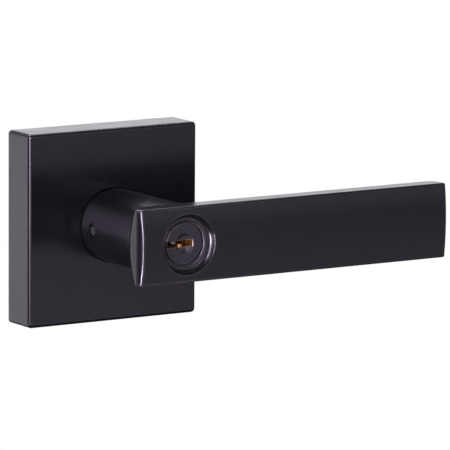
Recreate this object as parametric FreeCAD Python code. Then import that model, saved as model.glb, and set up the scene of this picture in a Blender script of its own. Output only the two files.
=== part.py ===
import FreeCAD, Part

import math
import os

# Outside half of a keyed lever handle lockset, in millimetres.
# Origin: on the spindle axis, at the rose's back face, which lies on the door.
# +Y goes into the door, so the lockset's front faces -Y. +X runs along the lever to its free end. +Z is up.

Vec = FreeCAD.Vector
ALONG_Y = Vec(0, 1, 0)
AXIS_START = Vec(0, 0, 0)

# how far a cutting or joining shape runs past a face, and how near a point counts as on it
PAST = 1.0
NEAR = 0.01
EDGE_SAMPLES = 5

# ---- driving dimensions ----

# clearance between pieces that don't move on each other
CLOSE_FIT = 0.02

# rose, a square cover that is hollow from the door side
ROSE_SIDE = 67.0
ROSE_DEPTH = 14.0
ROSE_WALL = 1.6
ROSE_CORNER_R = 1.4
ROSE_FRONT_EDGE_R = 1.1
ROSE_HOLE_R = 13.2

# lever bar: edge planes of its crowned front and back, its height and its two ends
LEVER_FRONT_Y = -62.8
LEVER_BACK_Y = -55.8
LEVER_HEIGHT = 26.1
LEVER_LEFT_X = -18.9
LEVER_RIGHT_X = 104.9
FRONT_CROWN = 0.9
BACK_CROWN = 3.0
LEFT_END_R = 4.5
LEFT_ARC_R = 4.7
RIGHT_END_R = 4.2
BAR_EDGE_R = 0.7

# neck, round, from inside the rose to the bar
NECK_R = 12.85
NECK_END_Y = -11.15
NECK_INTO_BAR = 1.0
NECK_BORE_R = 10.7
NECK_BORE_FRONT_Y = -30.2
KEY_RIB_INNER_R = 10.0

# round dish in the bar's front, down to the cylinder
DISH_R = 10.35
DISH_FLOOR_R = 8.75
DISH_FLOOR_Y = -61.2
DISH_RIM_R = 0.35
DISH_COVE_IN = 0.45
DISH_COVE_SHARE = 0.7

# key cylinder
SHELL_R = 8.45
SHELL_FRONT_Y = -61.25
SHELL_REAR_Y = -30.4
SHELL_FIT = 0.1
STACK_FRONT_Y = -58.4
STACK_X = 10.3
STACK_HALF_WIDTH = 4.0
RIM_BEVEL_WIDTH = 0.8
RIM_BEVEL_DEPTH = 0.35
PLUG_R = 6.0
PLUG_FIT = 0.05
PLUG_FACE_R = 7.15
PLUG_FACE_Y = -60.75
PLUG_FACE_DEPTH = 1.2
PLUG_FACE_GAP = 0.36
PLUG_FACE_BEVEL = 0.25
PLUG_REAR_Y = -29.5
PLUG_STUB_R = 4.6
PLUG_STUB_END_Y = -27.4
PLUG_CLIP_R = 7.4
PLUG_CLIP_SEAT_R = 5.2
PLUG_CLIP_THICK = 0.6
PLUG_CLIP_GAP_HALF = 1.5
RETAINER_R = 11.5
RETAINER_BORE_R = 7.85
RETAINER_THICK = 0.8
DIMPLE_R = 3.7
DIMPLE_DEPTH = 0.9
KEYWAY_HALF_HEIGHT = 1.15
KEYWAY_INNER_X = 3.35
KEYWAY_END_Y = -31.7
WARD_DEPTH = 0.95
UPPER_WARD_X = (-4.6, -3.3)
LOWER_WARD_X = (-1.9, -0.6)
PIN_COUNT = 5
PIN_PITCH = 4.0
FIRST_PIN_Y = -55.4
PIN_R = 1.4
PIN_CHAMBER_R = 1.5
PIN_CHAMBER_START_X = 0.6
PIN_DOME = 0.45
SHEAR_GAP = 0.03
KEY_PIN_LENGTHS = (3.1, 4.3, 3.6, 4.7, 3.9)
DRIVER_LENGTH = 2.1
COVER_THICK = 0.6
COVER_INSET = 0.2
PIN_SPRING_R = 0.95
PIN_SPRING_WIRE_R = 0.15
PIN_SPRING_TURNS = 3.0

# spindle tube and what it carries
TUBE_R = 10.6
TUBE_BORE_R = 9.6
TUBE_FRONT_Y = -27.0
TUBE_REAR_Y = 1.7
KEY_RIB_HALF_WIDTH = 1.5
KEY_RIB_FRONT_Y = -26.0
KEY_RIB_REAR_Y = -13.0
KEY_SLOT_FIT = 0.1
KEY_SLOT_END_GAP = 0.5
RING_FRONT_Y = 0.15
RING_THICK = 0.9
RING_R = 12.6
RING_SEAT_R = 10.05
RING_GAP_HALF = 2.0
SPINDLE_SIDE = 8.0
SPINDLE_EDGE_R = 0.6
SPINDLE_BORE_R = 2.9
SPINDLE_FLANGE_THICK = 2.0
SPINDLE_FLANGE_FRONT_Y = -1.5
SPINDLE_END_Y = 34.0
SPINDLE_LUG_HALF = 2.0
SPINDLE_LUG_REACH = 9.8
BLADE_WIDTH = 4.6
BLADE_THICK = 1.5
BLADE_END_Y = 44.0
BLADE_START_Y = -29.3
BLADE_FIT = 0.05
CROSS_PIN_R = 0.6
CROSS_PIN_Y = -28.4
CROSS_PIN_HALF = 4.3

# lever catch, at the neck's left side
CATCH_Y = -21.2
CATCH_R = 2.2
CATCH_TIP_EDGE_R = 0.5
CATCH_HOLE_R = 2.45
CATCH_TIP_X = -12.3
CATCH_BASE_R = 3.3
CATCH_BASE_X = -9.4
CATCH_BASE_THICK = 0.7
CATCH_SEAT_GAP = 0.1
CATCH_SPRING_R = 8.6
CATCH_SPRING_THICK = 0.35
CATCH_SPRING_WIDTH = 4.0
CATCH_SPRING_HALF_ANGLE = 78.0

# chassis behind the rose
PLATE_SIDE = 62.0
PLATE_THICK = 2.0
PLATE_CORNER_R = 4.0
PLATE_BORE_R = 12.0
TAB_THICK = 1.2
TAB_HALF_WIDTH = 6.0
TAB_REACH = 5.0
TAB_OUT = 31.55
SNAP_R = 0.55
SNAP_Y = -5.5
SNAP_CLEARANCE = 0.1
GROOVE_END_GAP = 0.5
POST_R = 4.0
POST_SPACING = 38.0
POST_LENGTH = 28.0
POST_THREAD_R = 2.1
POST_THREAD_DEPTH = 22.0
POST_SPIGOT_R = 2.8
POST_FLARE_R = 3.6
POST_FLARE_DEPTH = 0.8
CAGE_R = 23.0
CAGE_WALL = 1.2
CAGE_FRONT_Y = -10.4
CAGE_FLANGE_R = 27.5
CAGE_FLANGE_THICK = 1.0
CAGE_BORE_R = 11.9
RIVET_CIRCLE_R = 25.2
RIVET_R = 1.2
RIVET_HEAD_R = 2.0
RIVET_HEAD_THICK = 0.8
RIVET_RECESS = 0.1
RIVET_START_DEG = 45
BUSH_BORE_R = 10.65
PLATE_BUSH_FRONT_Y = -2.9
BUSH_FLANGE_R = 13.6
BUSH_FLANGE_THICK = 0.8
WASHER_R = 12.5
WASHER_BORE_R = 10.8
WASHER_THICK = 0.6

# return mechanism: a cam on the tube, between stops in the cage
TURN_DEG = 50.0
STOP_MARGIN_DEG = 1.0
CAM_FRONT_Y = -5.3
CAM_REAR_Y = -3.3
CAM_R = 14.2
CAM_TAB_INNER_R = 9.7
CAM_TAB_HALF = 1.5
TANG_HALF_WIDTH = 2.5
TANG_INNER_R = 17.6
TANG_OUTER_R = 19.8
TANG_FRONT_Y = -8.9
FIXED_TANG_INNER_R = 20.2
STOP_INNER_R = 17.8
STOP_WIDTH_DEG = 6.0
SPRING_R = 15.4
SPRING_WIRE_R = 0.8
SPRING_TURNS = 1
SPRING_LEG_END_Z = 21.3
SPRING_REAR_Y = -6.25
SPRING_SIDE_GAP = 0.05


# ---- shapes shared by several pieces ----

def rod(radius, y_start, y_end):
    """Solid cylinder on the spindle axis."""
    return Part.makeCylinder(radius, y_end - y_start, Vec(0, y_start, 0), ALONG_Y)


def ring(outer_r, inner_r, y_start, y_end):
    """Tube or washer on the spindle axis."""
    return rod(outer_r, y_start, y_end).cut(rod(inner_r, y_start - PAST, y_end + PAST))


def block(x_range, y_range, z_range):
    """Box between three pairs of limits."""
    size = [high - low for low, high in (x_range, y_range, z_range)]
    return Part.makeBox(size[0], size[1], size[2], Vec(x_range[0], y_range[0], z_range[0]))


def rod_x(radius, x_start, x_end, y, z=0.0):
    """Solid cylinder along X."""
    return Part.makeCylinder(radius, x_end - x_start, Vec(x_start, y, z), Vec(1, 0, 0))


def turned(shape, degrees):
    """Copy of a shape turned about the spindle axis."""
    copy = shape.copy()
    copy.rotate(AXIS_START, ALONG_Y, degrees)
    return copy


def rounded_square(side, radius, y_start, y_end):
    """Square block centred on the axis, with its four edges along Y rounded."""
    half = side / 2
    square = block((-half, half), (y_start, y_end), (-half, half))
    corners = [edge for edge in square.Edges if abs(edge.tangentAt(edge.FirstParameter).y) > 1 - NEAR]
    return square.makeFillet(radius, corners)


def revolved(points):
    """Solid turned about the spindle axis from a closed outline of (radius, y) points."""
    outline = Part.makePolygon([Vec(radius, y, 0) for radius, y in points + points[:1]])
    return Part.Face(outline).revolve(AXIS_START, ALONG_Y, 360)


def edges_near(shape, test):
    """Edges whose sample points all pass a test."""
    chosen = []
    for edge in shape.Edges:
        if edge.Degenerated:
            continue
        points = edge.discretize(EDGE_SAMPLES)
        if all(test(point) for point in points):
            chosen.append(edge)
    return chosen


def coil(radius, wire_r, turns, length, start):
    """Helical wire along +Z from a start point, later turned to its own direction."""
    helix = Part.makeHelix(length / turns, length, radius)
    helix.translate(start)
    first_edge = helix.Edges[0]
    tangent = first_edge.tangentAt(first_edge.FirstParameter)
    section = Part.Wire([Part.makeCircle(wire_r, start + Vec(radius, 0, 0), tangent)])
    return Part.Wire(helix.Edges).makePipeShell([section], True, True)


# ---- the rose and the chassis behind it ----

def make_rose():
    """Square cover with a rounded front edge, a hollow back and snap grooves."""
    rose = rounded_square(ROSE_SIDE, ROSE_CORNER_R, -ROSE_DEPTH, 0)
    front_edges = edges_near(rose, lambda p: p.y < -ROSE_DEPTH + NEAR)
    rose = rose.makeFillet(ROSE_FRONT_EDGE_R, front_edges)
    inside = ROSE_SIDE - 2 * ROSE_WALL
    rose = rose.cut(rounded_square(inside, ROSE_CORNER_R, -ROSE_DEPTH + ROSE_WALL, PAST))
    rose = rose.cut(rod(ROSE_HOLE_R, -ROSE_DEPTH - PAST, 0))
    groove_half = TAB_HALF_WIDTH + GROOVE_END_GAP
    groove = Part.makeCylinder(SNAP_R + SNAP_CLEARANCE, 2 * groove_half,
                               Vec(TAB_OUT, SNAP_Y, -groove_half), Vec(0, 0, 1))
    for quarter in range(4):
        rose = rose.cut(turned(groove, 90 * quarter))
    return rose


def make_mounting_plate():
    """Plate on the door face, with a bent snap tab on each side for the rose."""
    plate = rounded_square(PLATE_SIDE, PLATE_CORNER_R, -PLATE_THICK, 0)
    tab = block((TAB_OUT - TAB_THICK, TAB_OUT), (-PLATE_THICK - TAB_REACH, 0),
                (-TAB_HALF_WIDTH, TAB_HALF_WIDTH))
    bead = Part.makeCylinder(SNAP_R, 2 * TAB_HALF_WIDTH, Vec(TAB_OUT, SNAP_Y, -TAB_HALF_WIDTH), Vec(0, 0, 1))
    for quarter in range(4):
        plate = plate.fuse(turned(tab.fuse(bead), 90 * quarter))
    plate = plate.cut(rod(PLATE_BORE_R, -PLATE_THICK - PAST, PAST))
    for side in (-1, 1):
        plate = plate.cut(post_spigot(side * POST_SPACING / 2))
    for quarter in range(4):
        plate = plate.cut(turned(rivet_hole(), RIVET_START_DEG + 90 * quarter))
    return plate.removeSplitter()


def rivet_hole():
    """Clearance for one rivet, at the right of the axis."""
    front_y = -PLATE_THICK - CAGE_FLANGE_THICK - PAST
    return Part.makeCylinder(RIVET_R, PAST - front_y, Vec(RIVET_CIRCLE_R, front_y, 0), ALONG_Y)


def post_spigot(z):
    """Post's end in the plate, flared flush with the plate's front face."""
    shank = Part.makeCylinder(POST_SPIGOT_R, PLATE_THICK, Vec(0, -PLATE_THICK, z), ALONG_Y)
    flare = Part.makeCone(POST_FLARE_R, POST_SPIGOT_R, POST_FLARE_DEPTH, Vec(0, -PLATE_THICK, z), ALONG_Y)
    return shank.fuse(flare)


def make_mounting_posts():
    """Two posts with a threaded hole from the back, flared in the plate."""
    posts = []
    for side in (-1, 1):
        z = side * POST_SPACING / 2
        post = Part.makeCylinder(POST_R, POST_LENGTH, Vec(0, 0, z), ALONG_Y)
        post = post.fuse(post_spigot(z))
        thread = Part.makeCylinder(POST_THREAD_R, POST_THREAD_DEPTH + PAST,
                                   Vec(0, POST_LENGTH - POST_THREAD_DEPTH, z), ALONG_Y)
        posts.append(post.cut(thread))
    return Part.makeCompound(posts)


def stop_block(inner_r, half_angle_deg):
    """Block that stands inwards from the cage wall at the top, over a small angle."""
    wedge = ring(CAGE_R - CAGE_WALL / 2, inner_r, TANG_FRONT_Y, CAM_REAR_Y)
    reach = CAGE_R + 1
    slope = math.tan(math.radians(half_angle_deg)) * reach
    corners = [Vec(0, TANG_FRONT_Y, 0), Vec(slope, TANG_FRONT_Y, reach), Vec(-slope, TANG_FRONT_Y, reach)]
    sector = Part.Face(Part.makePolygon(corners + corners[:1])).extrude(Vec(0, CAM_REAR_Y - TANG_FRONT_Y, 0))
    return wedge.common(sector)


def make_spring_cage():
    """Pressed cup over the spring, with a rivet flange, a fixed tang and two stops."""
    inner_r = CAGE_R - CAGE_WALL
    inner_front = CAGE_FRONT_Y + CAGE_WALL
    cage = rod(CAGE_R, CAGE_FRONT_Y, -PLATE_THICK)
    cage = cage.fuse(rod(CAGE_FLANGE_R, -PLATE_THICK - CAGE_FLANGE_THICK, -PLATE_THICK))
    cage = cage.cut(rod(inner_r, inner_front, 0))
    cage = cage.cut(rod(CAGE_BORE_R, CAGE_FRONT_Y - PAST, 0))
    fixed_half_deg = math.degrees(math.atan(TANG_HALF_WIDTH / CAGE_R))
    cage = cage.fuse(stop_block(FIXED_TANG_INNER_R, fixed_half_deg))
    cam_half_deg = math.degrees(math.asin(TANG_HALF_WIDTH / TANG_INNER_R))
    stop_deg = TURN_DEG + STOP_MARGIN_DEG + cam_half_deg + STOP_WIDTH_DEG / 2
    for side in (-1, 1):
        cage = cage.fuse(turned(stop_block(STOP_INNER_R, STOP_WIDTH_DEG / 2), side * stop_deg))
    for quarter in range(4):
        cage = cage.cut(turned(rivet_hole(), RIVET_START_DEG + 90 * quarter))
    return cage.removeSplitter()


def make_cage_rivets():
    """Four rivets that hold the cage to the plate."""
    head_rear = -PLATE_THICK - CAGE_FLANGE_THICK
    shank = Part.makeCylinder(RIVET_R, -RIVET_RECESS - head_rear, Vec(RIVET_CIRCLE_R, head_rear, 0), ALONG_Y)
    head = Part.makeCylinder(RIVET_HEAD_R, RIVET_HEAD_THICK,
                             Vec(RIVET_CIRCLE_R, head_rear - RIVET_HEAD_THICK, 0), ALONG_Y)
    rivet = shank.fuse(head)
    return Part.makeCompound([turned(rivet, RIVET_START_DEG + 90 * quarter) for quarter in range(4)])


def make_plate_bush():
    """Flanged bearing in the plate; its flange lies on the plate's front face."""
    bush = rod(PLATE_BORE_R, PLATE_BUSH_FRONT_Y, 0)
    flange = rod(BUSH_FLANGE_R, PLATE_BUSH_FRONT_Y, PLATE_BUSH_FRONT_Y + BUSH_FLANGE_THICK)
    return bush.fuse(flange).cut(rod(BUSH_BORE_R, PLATE_BUSH_FRONT_Y - PAST, PAST))


def make_cage_bush():
    """Plain bearing in the cage's front."""
    return ring(CAGE_BORE_R, BUSH_BORE_R, CAGE_FRONT_Y, CAGE_FRONT_Y + CAGE_WALL)


def make_thrust_washer():
    """Washer between the cage and the end of the neck."""
    return ring(WASHER_R, WASHER_BORE_R, CAGE_FRONT_Y - WASHER_THICK, CAGE_FRONT_Y)


def make_return_spring():
    """Torsion spring: one long turn round the tube and two legs beside the tangs."""
    leg_x = TANG_HALF_WIDTH + SPRING_WIRE_R + SPRING_SIDE_GAP
    leg_deg = math.degrees(math.asin(leg_x / SPRING_R))
    turns = SPRING_TURNS + 2 * leg_deg / 360
    pitch = 2 * (SPRING_WIRE_R + SPRING_SIDE_GAP)
    length = pitch * turns
    spring = coil(SPRING_R, SPRING_WIRE_R, turns, length, Vec(0, 0, 0))
    # the helix runs up +Z from +X: lay it along -Y, with its start at the right leg
    spring.rotate(AXIS_START, Vec(1, 0, 0), 90)
    spring.rotate(AXIS_START, ALONG_Y, leg_deg - 90)
    spring.translate(Vec(0, SPRING_REAR_Y, 0))
    leg_z = SPRING_R * math.cos(math.radians(leg_deg)) - SPRING_WIRE_R
    for side, y in ((1, SPRING_REAR_Y), (-1, SPRING_REAR_Y - length)):
        foot = Vec(side * leg_x, y, leg_z)
        spring = spring.fuse(Part.makeCylinder(SPRING_WIRE_R, SPRING_LEG_END_Z - leg_z, foot, Vec(0, 0, 1)))
    return spring


# ---- the lever and what turns with it ----

def left_front_corner():
    """What the bar's left end lacks in front: it curves in along an arc and meets the front in a crest."""
    centre = Vec(LEVER_LEFT_X + LEFT_ARC_R, LEVER_BACK_Y - LEFT_ARC_R, -LEVER_HEIGHT)
    corner = block((LEVER_LEFT_X - PAST, centre.x), (LEVER_FRONT_Y - FRONT_CROWN - PAST, centre.y),
                   (-LEVER_HEIGHT, LEVER_HEIGHT))
    return corner.cut(Part.makeCylinder(LEFT_ARC_R, 2 * LEVER_HEIGHT, centre))


def make_bar():
    """Flat bar with a crowned front and back, rounded ends and eased edges."""
    half = LEVER_HEIGHT / 2
    front_arc = Part.Arc(Vec(0, LEVER_FRONT_Y, half), Vec(0, LEVER_FRONT_Y - FRONT_CROWN, 0),
                         Vec(0, LEVER_FRONT_Y, -half))
    back_arc = Part.Arc(Vec(0, LEVER_BACK_Y, -half), Vec(0, LEVER_BACK_Y + BACK_CROWN, 0),
                        Vec(0, LEVER_BACK_Y, half))
    bottom = Part.LineSegment(Vec(0, LEVER_FRONT_Y, -half), Vec(0, LEVER_BACK_Y, -half))
    top = Part.LineSegment(Vec(0, LEVER_BACK_Y, half), Vec(0, LEVER_FRONT_Y, half))
    outline = Part.Wire([curve.toShape() for curve in (front_arc, bottom, back_arc, top)])
    outline.translate(Vec(LEVER_LEFT_X, 0, 0))
    bar = Part.Face(outline).extrude(Vec(LEVER_RIGHT_X - LEVER_LEFT_X, 0, 0))
    for end_x, radius in ((LEVER_LEFT_X, LEFT_END_R), (LEVER_RIGHT_X, RIGHT_END_R)):
        end_edges = edges_near(bar, lambda p: abs(p.x - end_x) < NEAR and p.y > LEVER_BACK_Y - NEAR)
        bar = bar.makeFillet(radius, end_edges)
    bar = bar.cut(left_front_corner())
    # this rounding runs on round both ends and along the back edges
    bend_y = LEVER_BACK_Y - LEFT_ARC_R + NEAR
    crest_x = LEVER_LEFT_X + LEFT_ARC_R / 2
    front_edges = edges_near(bar, lambda p: abs(abs(p.z) - half) < NEAR and p.y < bend_y)
    front_edges += edges_near(bar, lambda p: p.x < crest_x and p.y < LEVER_FRONT_Y + NEAR)
    front_edges += edges_near(bar, lambda p: abs(p.x - LEVER_RIGHT_X) < NEAR and p.y < LEVER_FRONT_Y + NEAR)
    return bar.makeFillet(BAR_EDGE_R, front_edges)


def make_dish():
    """Space of the round dish: a cove from the bar's front down to the cylinder's rim."""
    front_y = LEVER_FRONT_Y - FRONT_CROWN
    rim_start = Vec(DISH_R + DISH_RIM_R, front_y - NEAR, 0)
    rim_end = Vec(DISH_R, front_y + DISH_RIM_R, 0)
    rim_inset = DISH_RIM_R * (1 - math.cos(math.radians(45)))
    rim_mid = Vec(DISH_R + rim_inset, front_y + rim_inset, 0)
    floor_end = Vec(DISH_FLOOR_R, DISH_FLOOR_Y, 0)
    cove_mid = Vec(DISH_R - DISH_COVE_IN, rim_end.y + DISH_COVE_SHARE * (DISH_FLOOR_Y - rim_end.y), 0)
    edges = [
        Part.Arc(rim_start, rim_mid, rim_end).toShape(),
        Part.Arc(rim_end, cove_mid, floor_end).toShape(),
        Part.makeLine(floor_end, Vec(0, DISH_FLOOR_Y, 0)),
        Part.makeLine(Vec(0, DISH_FLOOR_Y, 0), Vec(0, front_y - PAST, 0)),
        Part.makeLine(Vec(0, front_y - PAST, 0), Vec(rim_start.x, front_y - PAST, 0)),
        Part.makeLine(Vec(rim_start.x, front_y - PAST, 0), rim_start),
    ]
    return Part.Face(Part.Wire(edges)).revolve(AXIS_START, ALONG_Y, 360)


def cylinder_profile(clearance, y_front, y_rear):
    """Round barrel of the key cylinder with its pin stack at the right."""
    barrel = rod(SHELL_R + clearance, y_front, y_rear)
    stack_width = STACK_HALF_WIDTH + clearance
    stack = block((0, STACK_X + clearance), (y_front, y_rear), (-stack_width, stack_width))
    return barrel.fuse(stack)


def make_lever_handle():
    """Bar and neck in one casting, with the dish, the cylinder's seat and the tube's bore."""
    neck = rod(NECK_R, LEVER_BACK_Y - NECK_INTO_BAR, NECK_END_Y)
    lever = make_bar().fuse(neck)
    lever = lever.cut(make_dish())
    lever = lever.cut(rod(SHELL_R + SHELL_FIT, DISH_FLOOR_Y - PAST, NECK_BORE_FRONT_Y))
    seat = cylinder_profile(SHELL_FIT, STACK_FRONT_Y - SHELL_FIT, NECK_BORE_FRONT_Y)
    cover_room = block((STACK_X, STACK_X + COVER_THICK + SHELL_FIT),
                       (STACK_FRONT_Y - SHELL_FIT, NECK_BORE_FRONT_Y),
                       (-STACK_HALF_WIDTH, STACK_HALF_WIDTH))
    lever = lever.cut(seat.fuse(cover_room))
    lever = lever.cut(rod(NECK_BORE_R, NECK_BORE_FRONT_Y, 0))
    lever = lever.cut(retainer_ring_space(SHELL_FIT))
    rib = block((KEY_RIB_INNER_R, NECK_R - PAST), (KEY_RIB_FRONT_Y, KEY_RIB_REAR_Y),
                (-KEY_RIB_HALF_WIDTH, KEY_RIB_HALF_WIDTH))
    lever = lever.fuse(rib)
    lever = lever.cut(rod_x(CATCH_HOLE_R, -NECK_R - PAST, -TUBE_BORE_R, CATCH_Y))
    return lever.removeSplitter()


def retainer_ring_space(clearance):
    """Groove in the neck's bore behind the cylinder."""
    return rod(RETAINER_R + clearance, SHELL_REAR_Y - clearance, SHELL_REAR_Y + RETAINER_THICK + clearance)


def make_cylinder_retainer():
    """Open ring, sprung into the neck's groove, that holds the cylinder from behind."""
    retainer = ring(RETAINER_R, RETAINER_BORE_R, SHELL_REAR_Y, SHELL_REAR_Y + RETAINER_THICK)
    gap = block((-RETAINER_R - PAST, 0), (SHELL_REAR_Y - PAST, SHELL_REAR_Y + RETAINER_THICK + PAST),
                (-RING_GAP_HALF, RING_GAP_HALF))
    return retainer.cut(gap)


def make_spindle_tube():
    """Tube in the neck: slot for the lever's rib, catch hole, ring groove and cam slots."""
    tube = ring(TUBE_R, TUBE_BORE_R, TUBE_FRONT_Y, TUBE_REAR_Y)
    slot_half = KEY_RIB_HALF_WIDTH + KEY_SLOT_FIT
    slot_rear = KEY_RIB_REAR_Y + KEY_SLOT_END_GAP
    tube = tube.cut(block((0, TUBE_R + PAST), (TUBE_FRONT_Y - PAST, slot_rear), (-slot_half, slot_half)))
    tube = tube.cut(rod_x(CATCH_HOLE_R, -TUBE_R - PAST, -TUBE_BORE_R + PAST, CATCH_Y))
    groove_rear = RING_FRONT_Y + RING_THICK + CLOSE_FIT
    tube = tube.cut(ring(TUBE_R + PAST, RING_SEAT_R, RING_FRONT_Y - CLOSE_FIT, groove_rear))
    for side in (-1, 1):
        z_range = sorted((side * (TUBE_BORE_R - PAST), side * (TUBE_R + PAST)))
        tube = tube.cut(block((-CAM_TAB_HALF, CAM_TAB_HALF), (CAM_FRONT_Y, CAM_REAR_Y), z_range))
    lug_slot_x = (-TUBE_R - PAST, TUBE_R + PAST)
    lug_slot_y = (SPINDLE_FLANGE_FRONT_Y, TUBE_REAR_Y + PAST)
    return tube.cut(block(lug_slot_x, lug_slot_y, (-SPINDLE_LUG_HALF, SPINDLE_LUG_HALF)))


def make_driver_cam():
    """Plate keyed to the tube, with an arm at the top and a tang bent forward."""
    cam = ring(CAM_R, TUBE_R + CLOSE_FIT, CAM_FRONT_Y, CAM_REAR_Y)
    arm_x = (-TANG_HALF_WIDTH, TANG_HALF_WIDTH)
    arm = block(arm_x, (CAM_FRONT_Y, CAM_REAR_Y), (TUBE_R + PAST, TANG_OUTER_R))
    tang = block(arm_x, (TANG_FRONT_Y, CAM_REAR_Y), (TANG_INNER_R, TANG_OUTER_R))
    cam = cam.fuse(arm).fuse(tang)
    for side in (-1, 1):
        z_range = sorted((side * CAM_TAB_INNER_R, side * (TUBE_R + PAST)))
        cam = cam.fuse(block((-CAM_TAB_HALF, CAM_TAB_HALF), (CAM_FRONT_Y, CAM_REAR_Y), z_range))
    return cam.removeSplitter()


def make_retaining_ring():
    """Open snap ring in the tube's groove, behind the plate."""
    snap = ring(RING_R, RING_SEAT_R, RING_FRONT_Y, RING_FRONT_Y + RING_THICK)
    gap_y = (RING_FRONT_Y - PAST, RING_FRONT_Y + RING_THICK + PAST)
    return snap.cut(block((-RING_GAP_HALF, RING_GAP_HALF), gap_y, (-RING_R - PAST, 0)))


def make_drive_spindle():
    """Square hollow spindle with a flange that is lugged into the tube's end."""
    flange_rear = SPINDLE_FLANGE_FRONT_Y + SPINDLE_FLANGE_THICK
    spindle = rod(TUBE_BORE_R - CLOSE_FIT, SPINDLE_FLANGE_FRONT_Y, flange_rear)
    lug = SPINDLE_LUG_HALF - CLOSE_FIT
    lugs = block((-SPINDLE_LUG_REACH, SPINDLE_LUG_REACH), (SPINDLE_FLANGE_FRONT_Y, flange_rear), (-lug, lug))
    bar = rounded_square(SPINDLE_SIDE, SPINDLE_EDGE_R, flange_rear, SPINDLE_END_Y)
    spindle = spindle.fuse(lugs).fuse(bar)
    spindle = spindle.cut(rod(SPINDLE_BORE_R, SPINDLE_FLANGE_FRONT_Y - PAST, SPINDLE_END_Y + PAST))
    return spindle.removeSplitter()


# ---- the key cylinder ----

def pin_places():
    """Y of each pin, from the front."""
    return [FIRST_PIN_Y + PIN_PITCH * number for number in range(PIN_COUNT)]


def make_cylinder_shell():
    """Shell of the cylinder: bevelled rim, plug bore and five pin chambers."""
    shell = rod(SHELL_R, SHELL_FRONT_Y, SHELL_REAR_Y)
    shell = shell.fuse(cylinder_profile(0, STACK_FRONT_Y, SHELL_REAR_Y))
    shell = shell.cut(rod(PLUG_R + PLUG_FIT, SHELL_FRONT_Y - PAST, SHELL_REAR_Y + PAST))
    recess_r = PLUG_FACE_R + PLUG_FACE_GAP
    shell = shell.cut(rod(recess_r, SHELL_FRONT_Y - PAST, PLUG_FACE_Y + PLUG_FACE_DEPTH))
    bevel_r = recess_r + RIM_BEVEL_WIDTH
    bevel = revolved([(0, SHELL_FRONT_Y - PAST), (bevel_r, SHELL_FRONT_Y - PAST), (bevel_r, SHELL_FRONT_Y),
                      (recess_r, SHELL_FRONT_Y + RIM_BEVEL_DEPTH), (0, SHELL_FRONT_Y + RIM_BEVEL_DEPTH)])
    shell = shell.cut(bevel)
    for y in pin_places():
        shell = shell.cut(rod_x(PIN_CHAMBER_R, 0, STACK_X + PAST, y))
    return shell.removeSplitter()


def domed_pin(x_start, x_end, y, dome_at_start):
    """Round pin along X with a domed tip at one end."""
    pin = rod_x(PIN_R, x_start, x_end, y)
    dome_r = (PIN_R ** 2 + PIN_DOME ** 2) / (2 * PIN_DOME)
    centre_x = x_start + dome_r if dome_at_start else x_end - dome_r
    return pin.common(Part.makeSphere(dome_r, Vec(centre_x, y, 0)))


def make_driver_pins():
    """Five drivers that rest just outside the plug."""
    start = PLUG_R + PLUG_FIT + SHEAR_GAP
    return Part.makeCompound([domed_pin(start, start + DRIVER_LENGTH, y, True) for y in pin_places()])


def make_key_pins():
    """Five key pins of different lengths, their outer ends at the plug's surface."""
    end = PLUG_R - SHEAR_GAP
    pins = []
    for y, length in zip(pin_places(), KEY_PIN_LENGTHS):
        pin = domed_pin(end - length, end, y, True)
        pins.append(pin.common(rod(end, y - PIN_PITCH, y + PIN_PITCH)))
    return Part.makeCompound(pins)


def make_pin_springs():
    """Five small compression springs between the drivers and the cover."""
    start = PLUG_R + PLUG_FIT + SHEAR_GAP + DRIVER_LENGTH + PIN_SPRING_WIRE_R + CLOSE_FIT
    length = STACK_X - PIN_SPRING_WIRE_R - CLOSE_FIT - start
    springs = []
    for y in pin_places():
        spring = coil(PIN_SPRING_R, PIN_SPRING_WIRE_R, PIN_SPRING_TURNS, length, Vec(0, 0, 0))
        spring.rotate(AXIS_START, ALONG_Y, 90)
        spring.translate(Vec(start, y, 0))
        springs.append(spring)
    return Part.makeCompound(springs)


def make_pin_cover():
    """Strip over the pin chambers."""
    half = STACK_HALF_WIDTH - COVER_INSET
    return block((STACK_X, STACK_X + COVER_THICK), (STACK_FRONT_Y, SHELL_REAR_Y), (-half, half))


def make_keyway():
    """Key slot, open at the plug's left side, with a ward from above and one from below."""
    half = KEYWAY_HALF_HEIGHT
    slot = block((-PLUG_FACE_R - PAST, KEYWAY_INNER_X), (PLUG_FACE_Y - PAST, KEYWAY_END_Y), (-half, half))
    ward_y = (PLUG_FACE_Y - 2 * PAST, PLUG_REAR_Y)
    upper_ward = block(UPPER_WARD_X, ward_y, (half - WARD_DEPTH, half + PAST))
    lower_ward = block(LOWER_WARD_X, ward_y, (-half - PAST, -half + WARD_DEPTH))
    return slot.cut(upper_ward).cut(lower_ward)


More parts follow.
